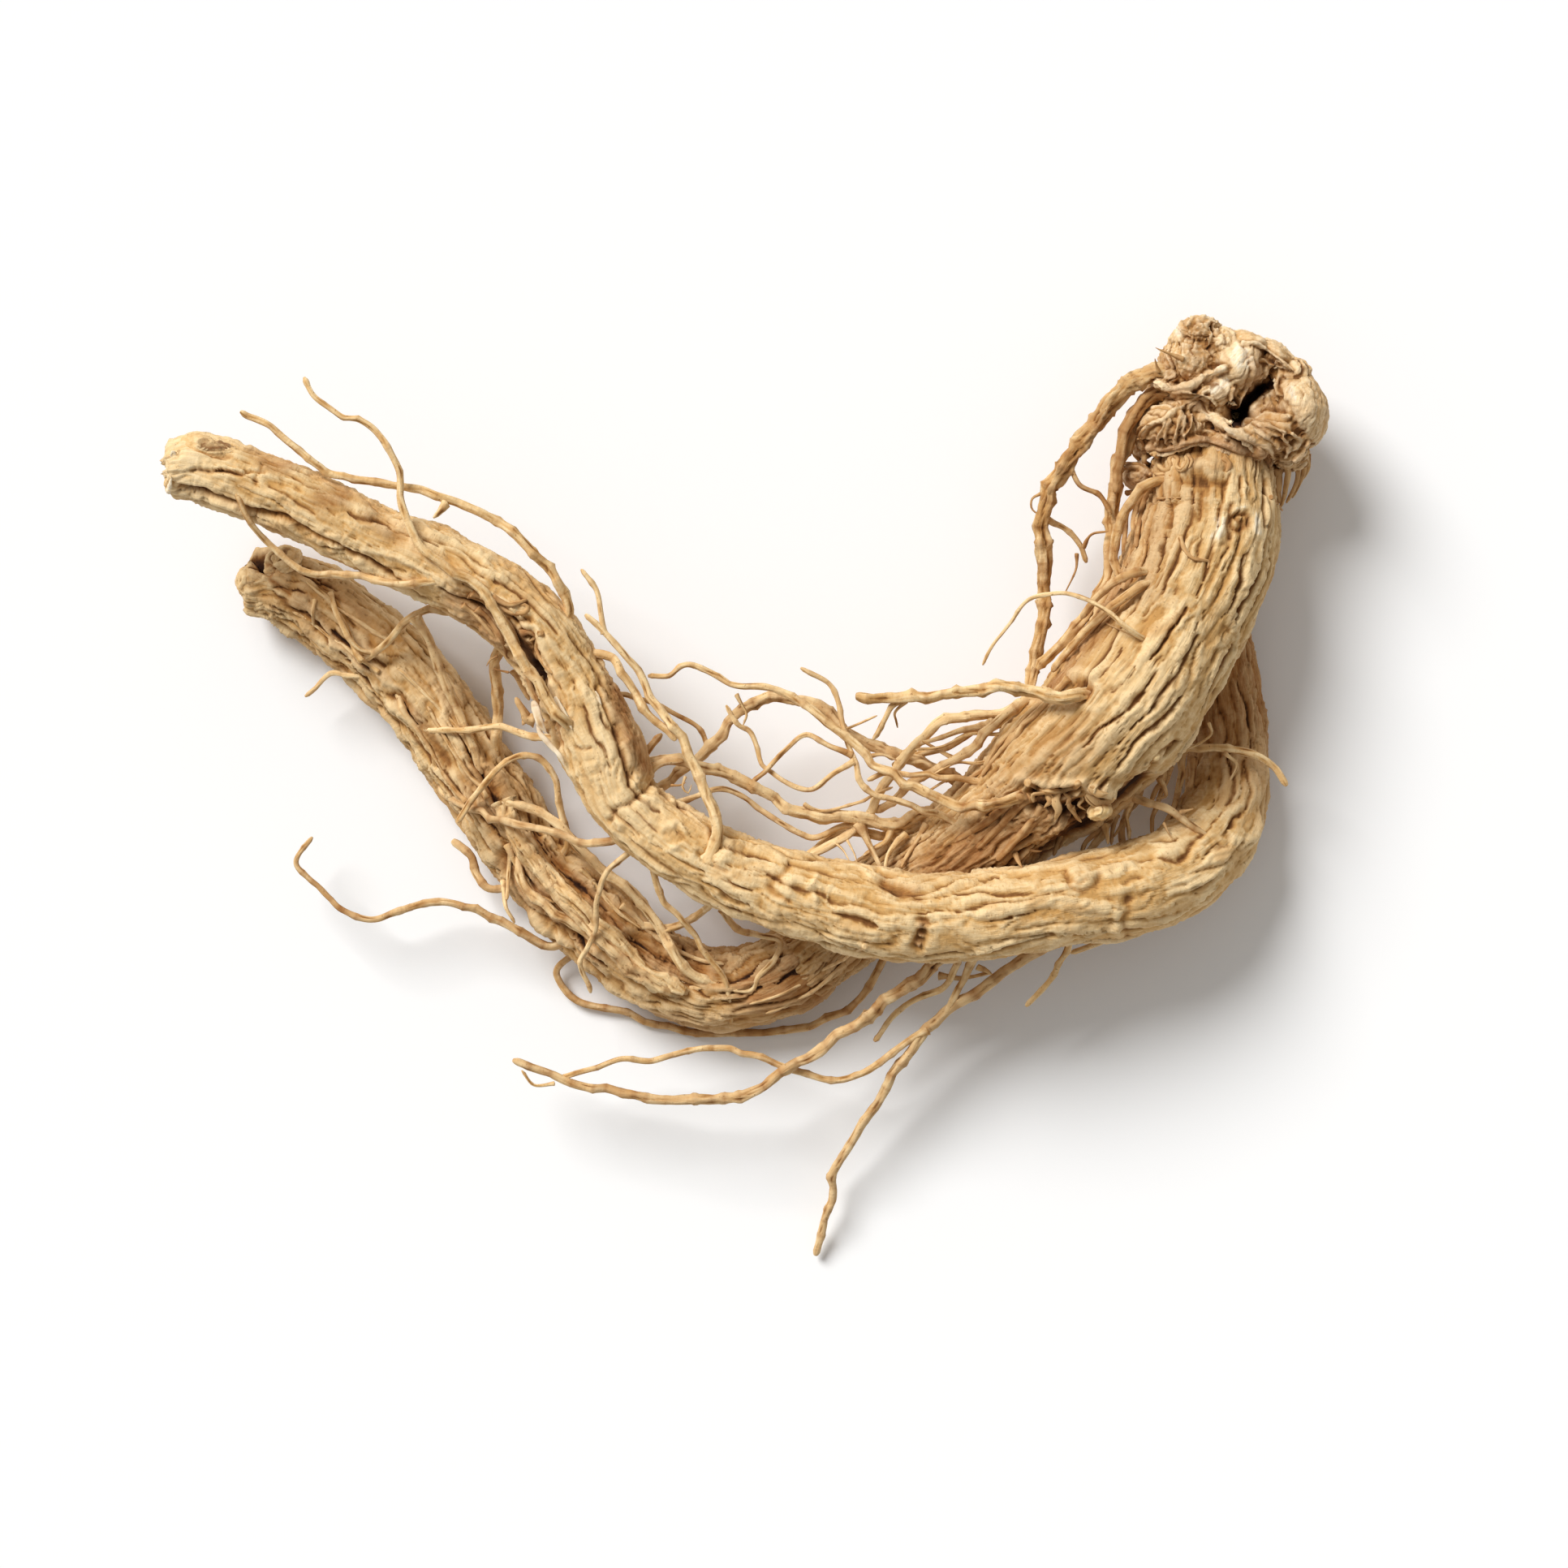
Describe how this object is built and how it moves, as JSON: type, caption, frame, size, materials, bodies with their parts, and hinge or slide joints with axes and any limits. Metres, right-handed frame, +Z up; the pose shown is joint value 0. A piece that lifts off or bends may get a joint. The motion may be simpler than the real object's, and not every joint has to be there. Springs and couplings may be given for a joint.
{
  "type": "dried cynanchum root",
  "caption": "Dried, wrinkled taproot with a knotted crown, a long curved tail, a branch root that passes over it, and fine rootlets. Lies on a surface.",
  "frame": {"origin": "bottom centre of the root's bounding box, on the surface that it lies on", "axes": "+X along the root's longest reach, from the two cut ends towards the crown; +Z up from the surface"},
  "size_m": [0.167, 0.137, 0.0305],
  "materials": {
    "root_bark": "matte, dry bark with lengthwise wrinkles"
  },
  "bodies": {
    "root": {"dried_root": "root_bark"}
  },
  "joints": []
}
